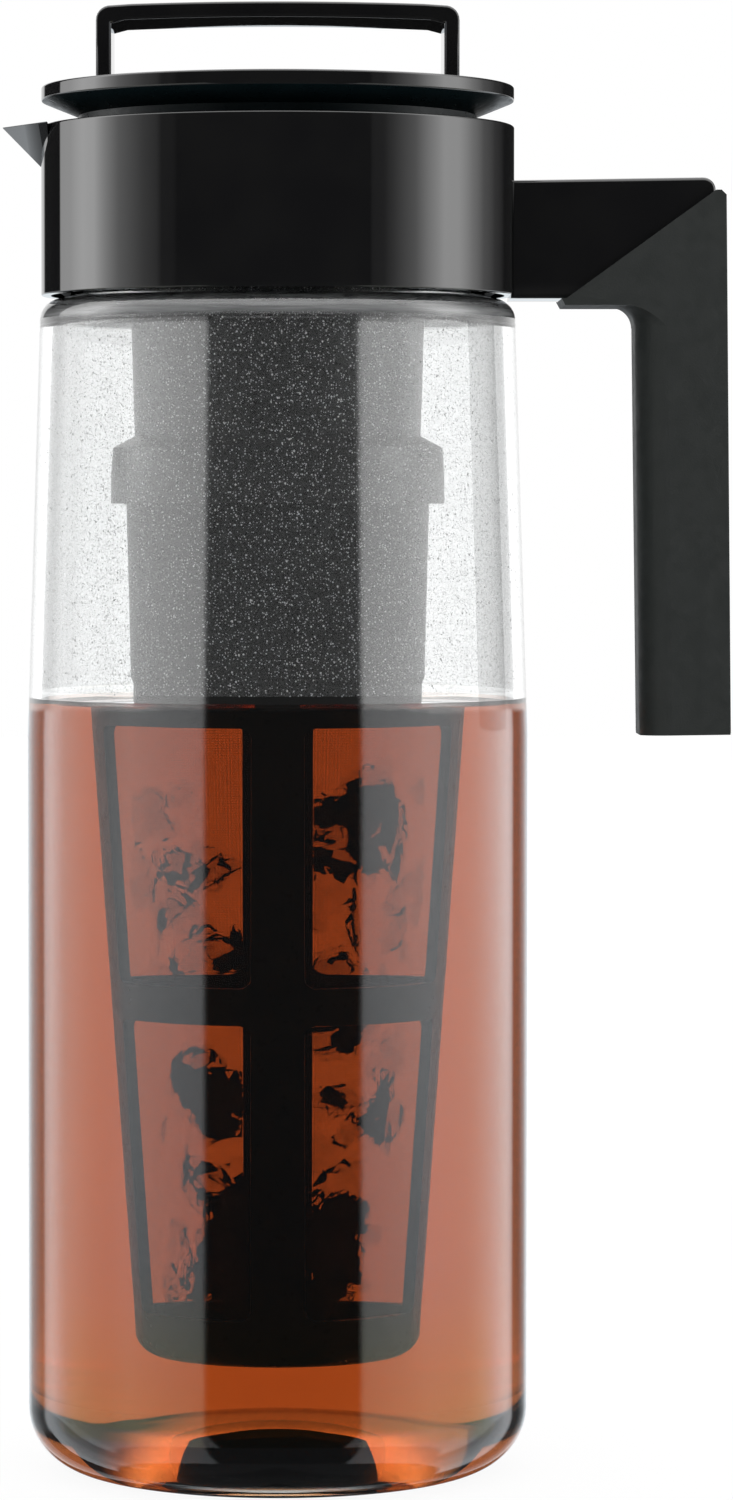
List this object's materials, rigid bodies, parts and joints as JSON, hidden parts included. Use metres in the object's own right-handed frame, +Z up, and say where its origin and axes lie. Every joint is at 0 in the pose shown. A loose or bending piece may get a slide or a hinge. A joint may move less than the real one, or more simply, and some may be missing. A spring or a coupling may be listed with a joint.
{
  "type": "iced tea maker",
  "caption": "Tall clear pitcher with black pouring collar, beak and soft-grip handle, a turning push-in lid with a finger loop, and a long infuser with mesh windows hanging inside.",
  "frame": {"origin": "centre of the pitcher's foot ring, on the surface it stands on", "axes": "+Z up along the pitcher's axis, +X towards the handle, -X towards the beak, -Y towards the picture's viewer"},
  "size_m": [0.1493, 0.103, 0.3012],
  "materials": {
    "clear_body": "clear, polished",
    "black_gloss": "high gloss",
    "soft_grip": "matte, soft touch",
    "black_satin": "satin",
    "seal_rubber": "matte silicone",
    "mesh": "fine nylon mesh"
  },
  "bodies": {
    "jug": {"pitcher": "clear_body", "neck_seal": "seal_rubber", "collar": "black_gloss", "handle_grip": "soft_grip"},
    "lid_seals": {"lid_seal_upper": "seal_rubber", "lid_seal_lower": "seal_rubber"},
    "lid": {"lid_cap": "black_gloss", "lid_loop": "black_gloss", "lid_stopper": "black_satin"},
    "infuser": {"infuser_tube": "black_satin"},
    "basket": {"basket_frame": "black_satin", "mesh_upper": "mesh", "mesh_lower": "mesh"}
  },
  "joints": [
    {"name": "lid_lift", "type": "slide", "parent": "jug", "child": "lid_seals", "axis": [0, 0, 1], "range_m": [0, 0.262]},
    {"name": "lid_turn", "type": "hinge", "parent": "lid_seals", "child": "lid", "pos_m": [0, 0, 0.27], "axis": [0, 0, 1], "range_deg": [0, 90]},
    {"name": "infuser_twist", "type": "hinge", "parent": "lid", "child": "infuser", "pos_m": [0, 0, 0.255], "axis": [0, 0, 1], "range_deg": [0, 40]},
    {"name": "basket_twist", "type": "hinge", "parent": "infuser", "child": "basket", "pos_m": [0, 0, 0.205], "axis": [0, 0, 1], "range_deg": [0, 40]}
  ]
}
